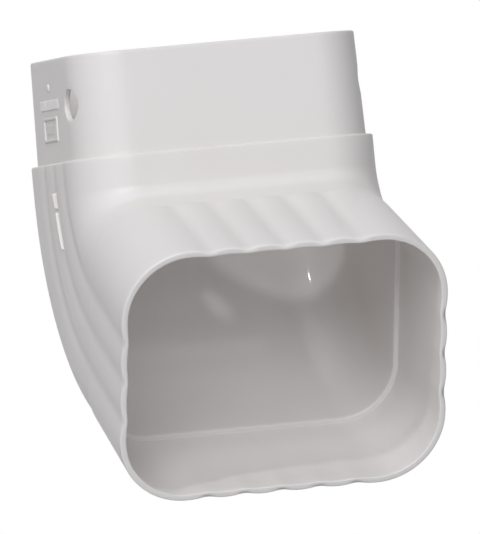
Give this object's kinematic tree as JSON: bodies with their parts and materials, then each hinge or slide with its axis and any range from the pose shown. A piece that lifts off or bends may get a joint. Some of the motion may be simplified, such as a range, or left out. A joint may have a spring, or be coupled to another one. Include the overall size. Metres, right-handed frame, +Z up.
{
  "type": "downspout elbow",
  "caption": "Moulded vinyl elbow that turns a rectangular rainwater downspout outwards, with a plain spigot above and a fluted socket below.",
  "frame": {"origin": "middle of the spigot in the plane of the shoulder", "axes": "+Z up along the spigot, the socket opens towards -Y and tips down, X is the width"},
  "size_m": [0.0908, 0.1114, 0.1222],
  "materials": {
    "white_vinyl": "moulded, glossy"
  },
  "bodies": {
    "root": {"downspout_elbow": "white_vinyl"}
  },
  "joints": []
}
